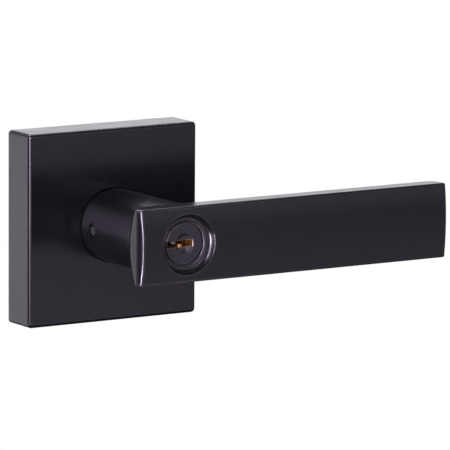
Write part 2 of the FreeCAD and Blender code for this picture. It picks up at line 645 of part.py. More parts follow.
def make_plug():
    """Plug with a faced front, a dimple round the keyway, pin holes and a slotted stub."""
    plug = rod(PLUG_R, PLUG_FACE_Y, PLUG_REAR_Y)
    face = rod(PLUG_FACE_R, PLUG_FACE_Y, PLUG_FACE_Y + PLUG_FACE_DEPTH - PLUG_FIT)
    rim = edges_near(face, lambda p: p.y < PLUG_FACE_Y + NEAR)
    face = face.makeChamfer(PLUG_FACE_BEVEL, rim)
    plug = plug.fuse(face).fuse(rod(PLUG_STUB_R, PLUG_REAR_Y, PLUG_STUB_END_Y))
    dimple_sphere_r = (DIMPLE_R ** 2 + DIMPLE_DEPTH ** 2) / (2 * DIMPLE_DEPTH)
    dimple_centre = Vec(0, PLUG_FACE_Y + DIMPLE_DEPTH - dimple_sphere_r, 0)
    plug = plug.cut(Part.makeSphere(dimple_sphere_r, dimple_centre))
    plug = plug.cut(make_keyway())
    for y in pin_places():
        plug = plug.cut(rod_x(PIN_CHAMBER_R, PIN_CHAMBER_START_X, PLUG_FACE_R, y))
    groove_front = SHELL_REAR_Y + CLOSE_FIT
    groove_rear = groove_front + PLUG_CLIP_THICK + 2 * CLOSE_FIT
    plug = plug.cut(ring(PLUG_R + PAST, PLUG_CLIP_SEAT_R, groove_front, groove_rear))
    slot_half = BLADE_THICK / 2 + BLADE_FIT
    slot_y = (BLADE_START_Y - 2 * BLADE_FIT, PLUG_STUB_END_Y + PAST)
    plug = plug.cut(block((-PLUG_R, PLUG_R), slot_y, (-slot_half, slot_half)))
    plug = plug.cut(cross_pin(CROSS_PIN_R + CLOSE_FIT, PLUG_STUB_R + PAST))
    return plug.removeSplitter()


def make_plug_clip():
    """Open ring in the plug's groove, behind the shell."""
    front = SHELL_REAR_Y + 2 * CLOSE_FIT
    clip = ring(PLUG_CLIP_R, PLUG_CLIP_SEAT_R, front, front + PLUG_CLIP_THICK)
    gap = block((-PLUG_CLIP_R - PAST, 0), (front - PAST, front + PLUG_CLIP_THICK + PAST),
                (-PLUG_CLIP_GAP_HALF, PLUG_CLIP_GAP_HALF))
    return clip.cut(gap)


def cross_pin(radius, half_length):
    """Pin, or the hole for it, through the plug's stub and the blade."""
    return Part.makeCylinder(radius, 2 * half_length, Vec(0, CROSS_PIN_Y, -half_length), Vec(0, 0, 1))


def make_tailpiece():
    """Flat blade from the plug's stub through the hollow spindle."""
    blade = block((-BLADE_WIDTH / 2, BLADE_WIDTH / 2), (BLADE_START_Y, BLADE_END_Y),
                  (-BLADE_THICK / 2, BLADE_THICK / 2))
    return blade.cut(cross_pin(CROSS_PIN_R + CLOSE_FIT, BLADE_THICK))


# ---- the lever catch ----

def make_lever_catch():
    """Button in the neck's side hole, on a round base inside the tube."""
    stem = rod_x(CATCH_R, CATCH_TIP_X, CATCH_BASE_X + CATCH_BASE_THICK, CATCH_Y)
    tip_edge = edges_near(stem, lambda p: p.x < CATCH_TIP_X + NEAR)
    stem = stem.makeFillet(CATCH_TIP_EDGE_R, tip_edge)
    base = rod_x(CATCH_BASE_R, CATCH_BASE_X, CATCH_BASE_X + CATCH_BASE_THICK, CATCH_Y)
    room_half = CATCH_BASE_R + PAST
    tube_room = rod(TUBE_BORE_R - CATCH_SEAT_GAP, CATCH_Y - room_half, CATCH_Y + room_half)
    return stem.fuse(base.common(tube_room)).removeSplitter()


def make_catch_spring():
    """Curved leaf that bears on the catch's base and on the tube's wall."""
    half_width = CATCH_SPRING_WIDTH / 2
    inner_r = CATCH_SPRING_R - CATCH_SPRING_THICK
    leaf = ring(CATCH_SPRING_R, inner_r, CATCH_Y - half_width, CATCH_Y + half_width)
    reach = 2 * CATCH_SPRING_R
    angle = math.radians(CATCH_SPRING_HALF_ANGLE)
    corner_x = -reach * math.cos(angle)
    corner_z = reach * math.sin(angle)
    corners = [Vec(0, 0, 0), Vec(corner_x, 0, corner_z), Vec(-reach, 0, corner_z),
               Vec(-reach, 0, -corner_z), Vec(corner_x, 0, -corner_z)]
    sector = Part.Face(Part.makePolygon(corners + corners[:1])).extrude(Vec(0, CATCH_SPRING_WIDTH, 0))
    sector.translate(Vec(0, CATCH_Y - half_width, 0))
    return leaf.common(sector)


# ---- one STEP file for each piece ----

PIECES = {
    "rose": make_rose,
    "mounting_plate": make_mounting_plate,
    "mounting_posts": make_mounting_posts,
    "spring_cage": make_spring_cage,
    "cage_rivets": make_cage_rivets,
    "return_spring": make_return_spring,
    "plate_bush": make_plate_bush,
    "cage_bush": make_cage_bush,
    "thrust_washer": make_thrust_washer,
    "lever_handle": make_lever_handle,
    "spindle_tube": make_spindle_tube,
    "driver_cam": make_driver_cam,
    "retaining_ring": make_retaining_ring,
    "drive_spindle": make_drive_spindle,
    "cylinder_shell": make_cylinder_shell,
    "driver_pins": make_driver_pins,
    "pin_springs": make_pin_springs,
    "pin_cover": make_pin_cover,
    "cylinder_retainer": make_cylinder_retainer,
    "catch_spring": make_catch_spring,
    "lever_catch": make_lever_catch,
    "plug": make_plug,
    "key_pins": make_key_pins,
    "plug_clip": make_plug_clip,
    "tailpiece": make_tailpiece,
    "tailpiece_pin": lambda: cross_pin(CROSS_PIN_R, CROSS_PIN_HALF),
}

os.makedirs("parts", exist_ok=True)
for node, make in PIECES.items():
    shape = make()
    shape.exportStep(f"parts/{node}.step")
    print(node, "valid", shape.isValid(), "solids", len(shape.Solids), "volume", round(shape.Volume, 1))
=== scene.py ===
import math

import bmesh
import bpy
from mathutils import Matrix, Vector


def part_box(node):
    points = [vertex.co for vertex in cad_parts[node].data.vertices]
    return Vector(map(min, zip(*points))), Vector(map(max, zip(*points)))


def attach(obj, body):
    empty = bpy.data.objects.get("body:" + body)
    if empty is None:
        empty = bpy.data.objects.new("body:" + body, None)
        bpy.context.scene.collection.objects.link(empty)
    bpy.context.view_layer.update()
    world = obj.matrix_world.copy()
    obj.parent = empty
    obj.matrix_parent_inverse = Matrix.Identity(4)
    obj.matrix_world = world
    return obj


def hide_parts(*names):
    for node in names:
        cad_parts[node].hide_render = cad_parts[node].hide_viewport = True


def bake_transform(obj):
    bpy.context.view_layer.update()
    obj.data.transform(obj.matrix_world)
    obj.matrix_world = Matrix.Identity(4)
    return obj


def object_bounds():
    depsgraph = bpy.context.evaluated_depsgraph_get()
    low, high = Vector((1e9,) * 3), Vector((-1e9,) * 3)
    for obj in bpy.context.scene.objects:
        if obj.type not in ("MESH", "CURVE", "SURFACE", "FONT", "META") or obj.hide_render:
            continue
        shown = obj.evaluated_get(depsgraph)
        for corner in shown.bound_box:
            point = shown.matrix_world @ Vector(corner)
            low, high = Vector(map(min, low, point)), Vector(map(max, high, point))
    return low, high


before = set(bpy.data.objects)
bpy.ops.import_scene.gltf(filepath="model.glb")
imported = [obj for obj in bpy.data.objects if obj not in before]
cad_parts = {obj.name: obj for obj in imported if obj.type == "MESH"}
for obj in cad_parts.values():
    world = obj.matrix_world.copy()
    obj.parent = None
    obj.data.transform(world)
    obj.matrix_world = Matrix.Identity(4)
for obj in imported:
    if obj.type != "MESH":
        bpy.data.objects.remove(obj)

cad_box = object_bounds()
MM = 0.001  # lengths are in metres, except where a section's heading says millimetres


# ---- camera: a long lens from the left, a little above ----

CAMERA_AZIMUTH = math.radians(-32.055)
CAMERA_ELEVATION = math.radians(9.117)
CAMERA_ROLL = math.radians(0.3485)
CAMERA_DISTANCE = 1.9736
CAMERA_TARGET = Vector((0.02906, -0.04003, 0.00118))
CAMERA_LENS = 460.4
CAMERA_SENSOR = 36.0
CAMERA_NEAR = 0.05
CAMERA_FAR = 60.0


def add_object(name, data):
    """Object that holds this mesh, lamp or camera, in the scene."""
    made = bpy.data.objects.new(name, data)
    bpy.context.scene.collection.objects.link(made)
    return made


def make_camera():
    data = bpy.data.cameras.new("camera")
    data.lens = CAMERA_LENS
    data.sensor_width = CAMERA_SENSOR
    data.clip_start = CAMERA_NEAR
    data.clip_end = CAMERA_FAR
    camera = add_object("camera", data)
    back = Vector((math.sin(CAMERA_AZIMUTH) * math.cos(CAMERA_ELEVATION),
                   -math.cos(CAMERA_AZIMUTH) * math.cos(CAMERA_ELEVATION),
                   math.sin(CAMERA_ELEVATION)))
    camera.location = CAMERA_TARGET + back * CAMERA_DISTANCE
    camera.rotation_mode = "QUATERNION"
    aim = (-back).to_track_quat("-Z", "Y")
    roll = Matrix.Rotation(CAMERA_ROLL, 4, "Z").to_quaternion()
    camera.rotation_quaternion = aim @ roll
    bpy.context.scene.camera = camera


# ---- node helpers ----

BEVEL_SAMPLES = 6
EDGE_FROM = 0.006
EDGE_FULL = 0.10


class Nodes:
    """A material's or world's node tree, with short calls to add and join nodes."""

    def __init__(self, owner):
        owner.use_nodes = True
        self.tree = owner.node_tree
        self.tree.nodes.clear()

    def add(self, kind, settings=None, **values):
        node = self.tree.nodes.new("ShaderNode" + kind)
        for name, value in (settings or {}).items():
            setattr(node, name, value)
        for name, value in values.items():
            self.put(node, name.replace("_", " "), value)
        return node

    def put(self, node, name, value):
        """Link or set the input with this name, or with this number where names repeat."""
        sockets = [socket for socket in node.inputs if socket.name == name and socket.enabled]
        self.fill(sockets[0] if sockets else node.inputs[int(name)], value)

    def fill(self, socket, value):
        if isinstance(value, bpy.types.NodeSocket):
            self.tree.links.new(value, socket)
        else:
            socket.default_value = value

    def finish(self, kind, shader):
        """Join a shader to the tree's output node."""
        self.put(self.add(kind), "Surface", shader.outputs[0])

    def maths(self, operation, first, second=0.0):
        node = self.add("Math", {"operation": operation})
        self.put(node, "0", first)
        self.put(node, "1", second)
        return node.outputs[0]

    def times(self, *values):
        total = values[0]
        for value in values[1:]:
            total = self.maths("MULTIPLY", total, value)
        return total

    def remap(self, value, low, high, out_low=0.0, out_high=1.0):
        """Smooth step from out_low at low to out_high at high."""
        node = self.add("MapRange", {"interpolation_type": "SMOOTHSTEP"})
        for name, number in (("Value", value), ("From Min", low), ("From Max", high),
                             ("To Min", out_low), ("To Max", out_high)):
            self.put(node, name, number)
        return node.outputs["Result"]

    def mix(self, share, first, second):
        """The first colour where share is 0 and the second where it is 1."""
        node = self.add("Mix", {"data_type": "RGBA"})
        self.put(node, "Factor", share)
        inputs = [socket for socket in node.inputs if socket.name in ("A", "B") and socket.type == "RGBA"]
        for socket, value in zip(inputs, (first, second)):
            self.fill(socket, value if isinstance(value, bpy.types.NodeSocket) else (*value, 1))
        return [socket for socket in node.outputs if socket.type == "RGBA"][0]

    def place(self, stretch=(1, 1, 1)):
        """The point on the object in millimetres, stretched along its axes."""
        node = self.add("VectorMath", {"operation": "MULTIPLY"})
        self.fill(node.inputs[0], self.add("TexCoord").outputs["Object"])
        self.fill(node.inputs[1], [part / MM for part in stretch])
        return node.outputs[0]

    def split(self, vector=None):
        """The vector's three parts, or the point's own in millimetres."""
        node = self.add("SeparateXYZ")
        self.put(node, "Vector", vector or self.place())
        return node.outputs["X"], node.outputs["Y"], node.outputs["Z"]

    def radius(self):
        """Distance from the spindle's axis in millimetres."""
        x, _, z = self.split()
        return self.maths("SQRT", self.maths("ADD", self.times(x, x), self.times(z, z)))

    def noise(self, scale, detail=2.0, stretch=(1, 1, 1)):
        """Soft noise, with its scale in features to the millimetre."""
        node = self.add("TexNoise", Vector=self.place(stretch), Scale=scale, Detail=detail)
        return node.outputs[0]

    def bevel(self, radius_mm):
        """The normal that the surface would have with its edges rounded."""
        return self.add("Bevel", {"samples": BEVEL_SAMPLES}, Radius=radius_mm * MM).outputs[0]

    def edges(self, radius_mm):
        """1 along edges and 0 on plain faces: how far a rounded normal leaves the real one."""
        dot = self.add("VectorMath", {"operation": "DOT_PRODUCT"})
        self.fill(dot.inputs[0], self.bevel(radius_mm))
        self.fill(dot.inputs[1], self.add("NewGeometry").outputs["Normal"])
        return self.remap(self.maths("SUBTRACT", 1.0, dot.outputs["Value"]), EDGE_FROM, EDGE_FULL)

    def bump(self, height, distance_mm, strength, normal=None):
        node = self.add("Bump", Height=height, Strength=strength, Distance=distance_mm * MM)
        if normal:
            self.put(node, "Normal", normal)
        return node.outputs[0]

    def surface(self, colour, roughness, metallic, normal, **extra):
        """Principled shader with these sockets, joined to the output; extra ones are set directly."""
        shader = self.add("BsdfPrincipled", Base_Color=colour, Roughness=roughness, Metallic=metallic,
                          Normal=normal)
        for name, value in extra.items():
            shader.inputs[name.replace("_", " ")].default_value = value
        self.finish("OutputMaterial", shader)


def material(name):
    made = bpy.data.materials.new(name)
    return made, Nodes(made)


# ---- stage ----

FLOOR_DROP = 0.10
FLOOR_HALF = 12.0
FLOOR_COLOUR = (0.9, 0.9, 0.9, 1)

BACKDROP_DROP = 0.0998
BACKDROP_TOP = 9.0
BACKDROP_HALF = 11.0
BACKDROP_COLOUR = (1, 1, 1, 1)
# glow of the backdrop before the object, lower than behind it: painted shade
BACKDROP_GREY = 0.58
BACKDROP_GREY_TO = -0.15
BACKDROP_WHITE_FROM = 0.18


def rectangle(low, high, z):
    """Corners of a level rectangle between two (x, y) corners."""
    (left, front), (right, rear) = low, high
    return [(left, front, z), (right, front, z), (right, rear, z), (left, rear, z)]


def square(half, z):
    """Corners of a level square about the Z axis."""
    return rectangle((-half, -half), (half, half), z)


def stage_object(name, corners, faces, finish):
    mesh = bpy.data.meshes.new(name)
    mesh.from_pydata(corners, [], faces)
    mesh.materials.append(finish)
    return add_object(name, mesh)


def make_stage():
    """Pale floor under the object, which lights it from below and shows in its reflections."""
    pale, nodes = material("floor_pale")
    nodes.finish("OutputMaterial", nodes.add("BsdfDiffuse", Color=FLOOR_COLOUR))
    floor = stage_object("floor", square(FLOOR_HALF, cad_box[0].z - FLOOR_DROP), [(0, 1, 2, 3)], pale)
    return floor


def make_backdrop():
    """Glowing floor, walls and ceiling that only the camera sees: white behind the object, grey before it,
    where the drop in glow is painted shade.
    """
    corners = square(BACKDROP_HALF, cad_box[0].z - BACKDROP_DROP) + square(BACKDROP_HALF, BACKDROP_TOP)
    faces = [(0, 1, 2, 3), (7, 6, 5, 4), (0, 4, 5, 1), (1, 5, 6, 2), (2, 6, 7, 3), (3, 7, 4, 0)]
    white, nodes = material("backdrop_glow_with_painted_shade")
    x, y, _ = nodes.split()
    behind = nodes.maths("ADD", nodes.times(x, -math.sin(CAMERA_AZIMUTH)),
                         nodes.times(y, math.cos(CAMERA_AZIMUTH)))
    # painted shade: the backdrop's glow falls to grey on the camera's side of the object
    level = nodes.remap(behind, BACKDROP_GREY_TO / MM, BACKDROP_WHITE_FROM / MM, out_low=BACKDROP_GREY)
    nodes.finish("OutputMaterial", nodes.add("Emission", Color=BACKDROP_COLOUR, Strength=level))
    backdrop = stage_object("backdrop", corners, faces, white)
    backdrop.visible_diffuse = False
    backdrop.visible_glossy = False
    backdrop.visible_transmission = False
    backdrop.visible_shadow = False


# ---- light: a plain sky that darkens upwards, and soft lamps ----

LIGHT_TINT = (1.0, 0.97, 1.03)

SKY_FRONT = 1.02
SKY_BACK = 1.42
SKY_FRONT_Y = -0.5
SKY_BACK_Y = 0.6
SKY_TOP = 0.25
SKY_DARKENS_FROM_Z = 0.12
SKY_DARK_BY_Z = 0.34


def make_sky():
    """Light from all round, stronger from the back, that fades to a dim level a little above the horizon."""
    world = bpy.data.worlds.new("studio")
    bpy.context.scene.world = world
    nodes = Nodes(world)
    _, y, z = nodes.split(nodes.add("TexCoord").outputs["Generated"])
    level = nodes.remap(y, SKY_FRONT_Y, SKY_BACK_Y, SKY_FRONT, SKY_BACK)
    height = nodes.remap(z, SKY_DARKENS_FROM_Z, SKY_DARK_BY_Z)
    fade = nodes.times(nodes.maths("SUBTRACT", level, SKY_TOP), height)
    strength = nodes.maths("SUBTRACT", level, fade)
    nodes.finish("OutputWorld", nodes.add("Background", Strength=strength, Color=(*LIGHT_TINT, 1)))


def softbox(name, place, aim, width, height, radiance, unlit=()):
    """Rectangular lamp of an even radiance that faces a point. It can leave some objects unlit."""
    data = bpy.data.lights.new(name, "AREA")
    data.shape = "RECTANGLE"
    data.size = width
    data.size_y = height
    data.energy = radiance * width * height * math.pi
    data.color = LIGHT_TINT
    lamp = add_object(name, data)
    lamp.location = place
    lamp.rotation_mode = "QUATERNION"
    lamp.rotation_quaternion = (Vector(aim) - Vector(place)).to_track_quat("-Z", "Y")
    lamp.visible_camera = False
    if unlit:
        receivers = bpy.data.collections.new(name + "_receivers")
        for piece in unlit:
            receivers.objects.link(piece)
        for member in receivers.collection_objects:
            member.light_linking.link_state = "EXCLUDE"
        lamp.light_linking.receiver_collection = receivers


def make_lamps(floor):
    """Each call gives a lamp's name, place, aim, width, height, radiance and what it leaves unlit."""
    rose, lever, catch = [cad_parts[name] for name in ("rose", "lever_handle", "lever_catch")]
    softbox("top_box", (0.0, 1.10, 1.20), (0.0, 1.30, -0.13), 1.7, 1.4, 5.3)
    softbox("left_box", (-0.60, -0.60, 0.27), (0, -0.05, 0.20), 0.46, 0.80, 15.0, [floor, lever, catch])
    softbox("lever_box", (-0.715, -0.44, 0.27), (0, -0.05, 0.20), 0.42, 0.80, 15.0, [floor, rose, catch])
    softbox("low_box", (-0.2165, -0.185, -0.070), (0, -0.06, 0), 0.11, 0.125, 48.0, [floor, rose, catch])
    softbox("front_left_box", (-0.65, -1.35, 0.57), (0, -0.05, 0.02), 0.68, 0.38, 5.5,
            [floor, lever, catch])
    softbox("front_right_box", (0.34, -2.00, 0.55), (0.28, -1.50, -0.13), 0.5, 0.8, 3.6)


# ---- cards out of every view, seen only in reflections, where they paint dark and bright reflections ----

CARD_FOOT_Z = -0.13
CARD_STEPS = 24

LEFT_CARD_CENTRE = (-0.018, -0.058)
LEFT_CARD_DISTANCE = 0.42
LEFT_CARD_ANGLES = (76, 150)
LEFT_CARD_TOP_Z = 0.05
LEFT_CARD_DARK_TO_Y = 0.12
LEFT_CARD_FULL_AT_Y = 0.42
# the left card's glow, which paints a bright reflection
LEFT_CARD_REFLECTION_GLOW = 1.8

RIGHT_CARD_CENTRE = (0.06, -0.06)
RIGHT_CARD_DISTANCE = 0.45
RIGHT_CARD_ANGLES = (-62, -122)
RIGHT_CARD_TOP_Z = 0.10

UNDER_CARD_LOW = (-0.16, -0.19)
UNDER_CARD_HIGH = (0.26, 0.16)
UNDER_CARD_Z = -0.12


def hidden_card(name, corners, faces, glow_of=None):
    """Black card, seen only in reflections, where it paints a dark reflection. Where glow_of(nodes) is given,
    it says how brightly the card glows, and the glow paints a bright reflection.
    """
    black, nodes = material(name + "_black")
    glow = glow_of(nodes) if glow_of else 0.0
    nodes.finish("OutputMaterial", nodes.add("Emission", Color=(*LIGHT_TINT, 1), Strength=glow))
    card = stage_object(name, corners, faces, black)
    card.visible_camera = False
    card.visible_diffuse = False
    card.visible_shadow = False


def curved_card(name, centre, distance, angles, top, glow_of=None):
    """Upright card bent round a point; angles run from the front (-Y) towards the left (-X)."""
    first, last = angles
    corners = []
    for step in range(CARD_STEPS + 1):
        angle = math.radians(first + (last - first) * step / CARD_STEPS)
        x, y = centre[0] - distance * math.sin(angle), centre[1] - distance * math.cos(angle)
        corners += [(x, y, CARD_FOOT_Z), (x, y, top)]
    faces = [(2 * step, 2 * step + 2, 2 * step + 3, 2 * step + 1) for step in range(CARD_STEPS)]
    hidden_card(name, corners, faces, glow_of)


def left_card_reflection_glow(nodes):
    """Dark at the front and bright at the back; the glow paints a bright reflection."""
    return nodes.remap(nodes.split()[1], LEFT_CARD_DARK_TO_Y / MM, LEFT_CARD_FULL_AT_Y / MM,
                       out_high=LEFT_CARD_REFLECTION_GLOW)


def make_cards():
    """Dark cards that paint dark reflections: left for the lever's curved end, right for the dish's left wall,
    under for lower edges; the left one's glow also paints a bright reflection.
    """
    curved_card("left_card", LEFT_CARD_CENTRE, LEFT_CARD_DISTANCE, LEFT_CARD_ANGLES, LEFT_CARD_TOP_Z,
                left_card_reflection_glow)
    curved_card("right_card", RIGHT_CARD_CENTRE, RIGHT_CARD_DISTANCE, RIGHT_CARD_ANGLES, RIGHT_CARD_TOP_Z)
    hidden_card("under_card", rectangle(UNDER_CARD_LOW, UNDER_CARD_HIGH, UNDER_CARD_Z), [(0, 1, 2, 3)])


make_camera()
stage_floor = make_stage()
make_backdrop()
make_sky()
make_lamps(stage_floor)
make_cards()


# ---- satin black coatings; lengths in millimetres ----

COATING_TINT = (0.87, 0.79, 0.96, 1)
COATING_DEEP = (0.0015, 0.0013, 0.0018)
COATING_LIGHT = (0.0028, 0.0024, 0.0034)
# lighter, metallic edge colour: partly rubbed coating, partly a painted highlight
COATING_WORN_AND_HIGHLIT = (0.26, 0.24, 0.27)
# the rose and the lever share one coating: the rose's higher index brightens its reflections as painted light,
# the lever's lower index darkens them as painted shade
ROSE_LIT_INDEX = 1.54
ROSE_POLISH_AND_HIGHLIGHT = 0.35
LEVER_SHADED_INDEX = 1.43
LEVER_POLISH_AND_HIGHLIGHT = 0.8

# where the coating's edges are rubbed bright and carry a painted highlight
ROSE_HOLE_EDGE_R = 14.0
BAR_START_Y = -53.0
WEAR_AND_HIGHLIGHT_FADE = 1.5
BAR_WORN_AND_HIGHLIT_TO_X = 6.0
BAR_LESS_WORN_AND_HIGHLIT_FROM_X = 34.0
BAR_FAR_WEAR_AND_HIGHLIGHT = 0.35
DISH_RIM_R = 10.7
DISH_WEAR_AND_HIGHLIGHT_FROM_R = DISH_RIM_R + 0.6
DISH_WEAR_AND_HIGHLIGHT_FULL_R = DISH_RIM_R + 1.6
DISH_WEAR_AND_HIGHLIGHT = 0.05


def satin_black(name, polish_and_highlight, exposed_where, index):
    """Dark satin coating: a faint grain and streaks, with its exposed edges lighter and more metallic, partly
    rubbed bright and partly a painted highlight.
    """
    made, nodes = material(name)
    exposed = exposed_where(nodes)
    cloud = nodes.noise(scale=0.09, detail=3.0)
    streak = nodes.noise(scale=0.5, detail=4.0, stretch=(0.25, 1, 3.0))
    grain = nodes.noise(scale=5.0)
    patchy = nodes.remap(nodes.noise(scale=0.8, detail=4.0), 0.25, 0.6, out_low=0.45)
    # edge mark: partly rubbed coating, partly a painted highlight along the edges
    wear_and_highlight = nodes.times(nodes.edges(radius_mm=1.0), exposed, patchy, polish_and_highlight)
    colour = nodes.mix(wear_and_highlight, nodes.mix(cloud, COATING_DEEP, COATING_LIGHT), COATING_WORN_AND_HIGHLIT)
    rough = nodes.remap(streak, 0.3, 0.7, out_low=0.18, out_high=0.23)
    rough = nodes.maths("ADD", rough, nodes.times(wear_and_highlight, 0.05))
    normal = nodes.bump(streak, distance_mm=0.0015, strength=0.4)
    normal = nodes.bump(grain, distance_mm=0.0012, strength=0.5, normal=normal)
    nodes.surface(colour, rough, wear_and_highlight, normal, IOR=index, Specular_Tint=COATING_TINT)
    return made


def away_from_neck(nodes):
    """1 on the rose except round the neck's hole."""
    return nodes.remap(nodes.radius(), ROSE_HOLE_EDGE_R, ROSE_HOLE_EDGE_R + WEAR_AND_HIGHLIGHT_FADE)


def on_the_bar(nodes):
    """1 on the lever's bar near the cylinder, less further out, and about 0 on its neck and in its dish."""
    bar = nodes.remap(nodes.split()[1], BAR_START_Y + WEAR_AND_HIGHLIGHT_FADE, BAR_START_Y)
    near_cylinder = nodes.remap(nodes.split()[0], BAR_LESS_WORN_AND_HIGHLIT_FROM_X, BAR_WORN_AND_HIGHLIT_TO_X, out_low=BAR_FAR_WEAR_AND_HIGHLIGHT)
    off_dish = nodes.remap(nodes.radius(), DISH_WEAR_AND_HIGHLIGHT_FROM_R, DISH_WEAR_AND_HIGHLIGHT_FULL_R, out_low=DISH_WEAR_AND_HIGHLIGHT)
    return nodes.times(bar, near_cylinder, off_dish)


# ---- the cylinder's coating over brass; lengths in millimetres ----

CYLINDER_INDEX = 1.5
CYLINDER_DEEP = (0.0032, 0.0028, 0.0038)
CYLINDER_LIGHT = (0.0052, 0.0046, 0.0062)
CYLINDER_WORN_AND_HIGHLIT = (0.16, 0.145, 0.165)
BARE_BRASS_LIGHT = (0.66, 0.37, 0.15)
BARE_BRASS_DARK = (0.26, 0.125, 0.045)
SOFT_EDGE_R = 0.35

SHELL_BARE_FROM_Y = -58.5
PLUG_FACE_Y = -60.75
PLUG_FACE_REAR_Y = -59.5
BARE_FADE = 0.25
KEYWAY_HALF_HEIGHT = 1.15
KEYWAY_INNER_X = 3.35
KEYWAY_FADE = 0.05
KEYWAY_BARE_FROM_Y = PLUG_FACE_Y + 0.08
KEYWAY_BARE_FULL_Y = PLUG_FACE_Y + 0.20
KEYWAY_BRASS_FROM_X = -2.6
KEYWAY_BRASS_FULL_X = -0.6
KEYWAY_RAGGED = 3.0
KEYWAY_LEAST_BRASS = 0.1


def black_over_brass(name, bare):
    """Satin black coating that stops where bare(nodes) says the metal is left brass; its edges are lighter and
    more metallic, partly rubbed bright and partly a painted highlight.
    """
    made, nodes = material(name)
    share = bare(nodes)
    cloud = nodes.noise(scale=0.3, detail=4.0)
    film = nodes.noise(scale=2.5, detail=3.0)
    patchy = nodes.remap(nodes.noise(scale=1.1, detail=4.0), 0.3, 0.6, out_low=0.4)
    # edge mark: partly rubbed coating, partly a painted highlight
    wear_and_highlight = nodes.times(nodes.edges(radius_mm=0.3), patchy, 0.5)
    black = nodes.mix(wear_and_highlight, nodes.mix(cloud, CYLINDER_DEEP, CYLINDER_LIGHT), CYLINDER_WORN_AND_HIGHLIT)
    brass = nodes.mix(nodes.noise(scale=1.6, detail=3.0), BARE_BRASS_LIGHT, BARE_BRASS_DARK)
    colour = nodes.mix(share, black, brass)
    rough = nodes.remap(film, 0.3, 0.7, out_low=0.17, out_high=0.24)
    rough = nodes.maths("ADD", rough, nodes.times(share, 0.14))
    normal = nodes.bump(film, distance_mm=0.002, strength=0.5, normal=nodes.bevel(SOFT_EDGE_R))
    nodes.surface(colour, rough, nodes.maths("MAXIMUM", wear_and_highlight, share), normal,
                  IOR=CYLINDER_INDEX, Specular_Tint=COATING_TINT)
    return made


def shell_is_bare(nodes):
    """The cylinder's shell is brass behind its visible front face."""
    return nodes.remap(nodes.split()[1], SHELL_BARE_FROM_Y, SHELL_BARE_FROM_Y + BARE_FADE)


def plug_is_bare(nodes):
    """The plug is brass behind its face, and inside the keyway from just under the face; the keyway's brass
    fades to mostly black coating towards its left end, along a ragged line.
    """
    x, y, z = nodes.split()
    behind = nodes.remap(y, PLUG_FACE_REAR_Y, PLUG_FACE_REAR_Y + BARE_FADE)
    in_height = nodes.remap(nodes.maths("ABSOLUTE", z), KEYWAY_HALF_HEIGHT + KEYWAY_FADE, KEYWAY_HALF_HEIGHT)
    in_width = nodes.remap(x, KEYWAY_INNER_X + KEYWAY_FADE, KEYWAY_INNER_X)
    ragged_x = nodes.maths("ADD", x, nodes.times(nodes.noise(scale=1.2), KEYWAY_RAGGED))
    # darker towards the keyway's left end: less brass and more black coating there
    keyway_brass_share = nodes.remap(ragged_x, KEYWAY_BRASS_FROM_X, KEYWAY_BRASS_FULL_X, out_low=KEYWAY_LEAST_BRASS)
    under_face = nodes.remap(y, KEYWAY_BARE_FROM_Y, KEYWAY_BARE_FULL_Y)
    return nodes.maths("MAXIMUM", behind, nodes.times(in_height, in_width, under_face, keyway_brass_share))


# ---- bare metals and nylon; noise scales in features to the millimetre ----

ZINC_BRIGHT = (0.66, 0.67, 0.68)
ZINC_DULL = (0.46, 0.47, 0.49)
ZINC_TINT = (0.52, 0.54, 0.60)
BRASS_LIGHT = (0.80, 0.58, 0.26)
BRASS_DARK = (0.58, 0.38, 0.15)
# edge colour of dark steel: partly rubbed steel, partly a painted highlight
RUBBED_AND_HIGHLIT_STEEL = (0.5, 0.5, 0.52)
OXIDE_LIGHT = (0.09, 0.09, 0.10)
OXIDE_DARK = (0.04, 0.04, 0.045)
BRONZE_LIGHT = (0.42, 0.27, 0.13)
BRONZE_DARK = (0.30, 0.19, 0.10)
BRONZE_PORE = (0.06, 0.04, 0.025)
# edge colour of bronze: partly rubbed metal, partly a painted highlight
BRONZE_EDGE_AND_HIGHLIGHT = (0.62, 0.42, 0.22)
# edge colour of nylon: partly rubbed, partly a painted highlight
NYLON_EDGE_AND_HIGHLIGHT = (0.9, 0.89, 0.85)


def brighter(colour, factor):
    return [min(1.0, factor * part) for part in colour]


def plated(name, bright, dull, tint, roughness=0.36, spangle=0.5):
    """Zinc plate: fine spangle, cloudy passivation, rub marks and brighter edges, partly rubbed and partly a
    painted highlight.
    """
    made, nodes = material(name)
    cells = nodes.add("TexVoronoi", Vector=nodes.place(), Scale=spangle).outputs["Color"]
    shade = nodes.split(cells)[0]
    cloud = nodes.noise(scale=0.12, detail=4.0)
    rub = nodes.noise(scale=0.7, detail=5.0, stretch=(5.0, 1, 0.4))
    # edge mark: partly rubbed plate, partly a painted highlight
    wear_and_highlight = nodes.times(nodes.edges(radius_mm=0.5), 0.6)
    base = nodes.mix(nodes.remap(cloud, 0.35, 0.65), dull, tint)
    base = nodes.mix(nodes.times(shade, 0.30), base, bright)
    colour = nodes.mix(wear_and_highlight, base, brighter(bright, 1.25))
    rough = nodes.remap(rub, 0.3, 0.75, out_low=roughness - 0.05, out_high=roughness + 0.12)
    rough = nodes.maths("ADD", rough, nodes.times(shade, 0.06))
    normal = nodes.bump(nodes.noise(scale=2.2, detail=3.0), distance_mm=0.002, strength=0.4)
    normal = nodes.bump(rub, distance_mm=0.0015, strength=0.5, normal=normal)
    nodes.surface(colour, rough, 1.0, normal)
    return made


